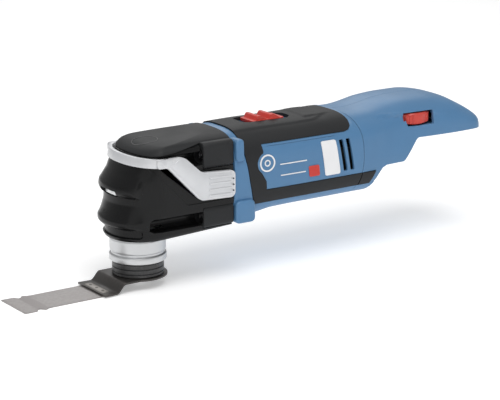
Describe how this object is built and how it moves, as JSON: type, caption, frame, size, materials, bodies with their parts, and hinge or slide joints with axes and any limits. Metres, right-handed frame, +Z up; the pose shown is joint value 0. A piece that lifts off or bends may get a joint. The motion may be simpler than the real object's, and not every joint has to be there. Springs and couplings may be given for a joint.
{
  "type": "cordless oscillating multi tool",
  "caption": "Angled-head cordless oscillating tool with keyless clamp lever, slide switch, speed wheel, battery deck and a plunge-cut blade fitted.",
  "frame": {"origin": "middle of the tool's footprint, at the level of the blade's lower face", "axes": "+X towards the battery end along the motor axis, +Y to the tool's right-hand side, +Z up along the spindle away from the accessory"},
  "size_m": [0.3532, 0.067, 0.0997],
  "materials": {
    "housing_blue": "fine satin grain",
    "cover_black": "satin, slightly glossy",
    "inner_black": "plain moulded",
    "soft_grip": "matt soft grip",
    "control_red": "satin",
    "lever_silver": "silver, fine sheen",
    "cast_housing": "die cast",
    "ground_steel": "ground and hardened",
    "screw_steel": "zinc-plated",
    "holder_black": "black burnished",
    "carrier_black": "black coating",
    "blade_steel": "warm grey heat-treated steel",
    "copper": "enamelled copper",
    "board_green": "solder mask",
    "lens_clear": "clear",
    "label_white": "printed label"
  },
  "bodies": {
    "tool_body": {"motor_housing": "housing_blue", "rear_shell_left": "housing_blue", "rear_shell_right": "housing_blue", "head_cover": "cover_black", "terminal_block": "inner_black", "switch_module": "inner_black", "electronics_module": "inner_black", "speed_control_axle": "inner_black", "motor_end_plate": "inner_black", "soft_grip": "soft_grip", "grip_cap": "soft_grip", "boss_sleeve_left": "soft_grip", "boss_sleeve_right": "soft_grip", "rear_strip_left": "soft_grip", "rear_strip_right": "soft_grip", "gear_housing": "cast_housing", "spindle_neck": "cast_housing", "lower_bearing": "ground_steel", "upper_bearing": "ground_steel", "front_motor_bearing": "ground_steel", "rear_motor_bearing": "ground_steel", "stator_core": "ground_steel", "head_screw_upper_left": "screw_steel", "head_screw_upper_right": "screw_steel", "head_screw_lower_left": "screw_steel", "head_screw_lower_right": "screw_steel", "shell_screw_1": "screw_steel", "shell_screw_2": "screw_steel", "shell_screw_3": "screw_steel", "shell_screw_4": "screw_steel", "stator_windings": "copper", "contact_blade_left": "copper", "contact_blade_right": "copper", "sensor_board": "board_green", "control_board": "board_green", "light_board": "board_green", "light_lens": "lens_clear", "motor_label": "label_white"},
    "spindle": {"tool_holder": "holder_black", "output_spindle": "ground_steel", "rocker_fork": "ground_steel", "blade_carrier": "carrier_black", "saw_blade": "blade_steel", "clamp_spring": "ground_steel"},
    "clamp": {"clamp_rod": "ground_steel"},
    "lever": {"release_lever": "lever_silver", "camshaft": "ground_steel"},
    "motor": {"motor_shaft": "ground_steel", "eccentric_bearing": "ground_steel", "balance_weight": "ground_steel", "rotor": "ground_steel", "cooling_fan": "inner_black"},
    "switch": {"slide_button": "control_red", "switch_link": "inner_black"},
    "dial": {"speed_wheel": "control_red"}
  },
  "joints": [
    {"name": "spindle_oscillation", "type": "hinge", "parent": "tool_body", "child": "spindle", "pos_m": [-0.08595, 0, 0.0375], "axis": [0, 0, 1], "range_deg": [-1.4, 1.4]},
    {"name": "lever_swing", "type": "hinge", "parent": "tool_body", "child": "lever", "pos_m": [-0.08195, 0, 0.0845], "axis": [0, 1, 0], "range_deg": [0, 80]},
    {"name": "clamp_release", "type": "slide", "parent": "spindle", "child": "clamp", "axis": [0, 0, -1], "range_m": [0, 0.0025], "deforming": ["clamp_spring"]},
    {"name": "motor_spin", "type": "hinge", "parent": "tool_body", "child": "motor", "pos_m": [-0.00595, 0, 0.0675], "axis": [1, 0, 0], "continuous": true},
    {"name": "switch_slide", "type": "slide", "parent": "tool_body", "child": "switch", "axis": [-1, 0, 0], "range_m": [0, 0.006]},
    {"name": "speed_dial", "type": "hinge", "parent": "tool_body", "child": "dial", "pos_m": [0.11955, -0.0172, 0.0869], "axis": [0, 0, 1], "range_deg": [0, 250]}
  ],
  "couplings": [
    {"joint": "clamp_release", "follows": "lever_swing", "m_per_rad": 0.0017905}
  ]
}
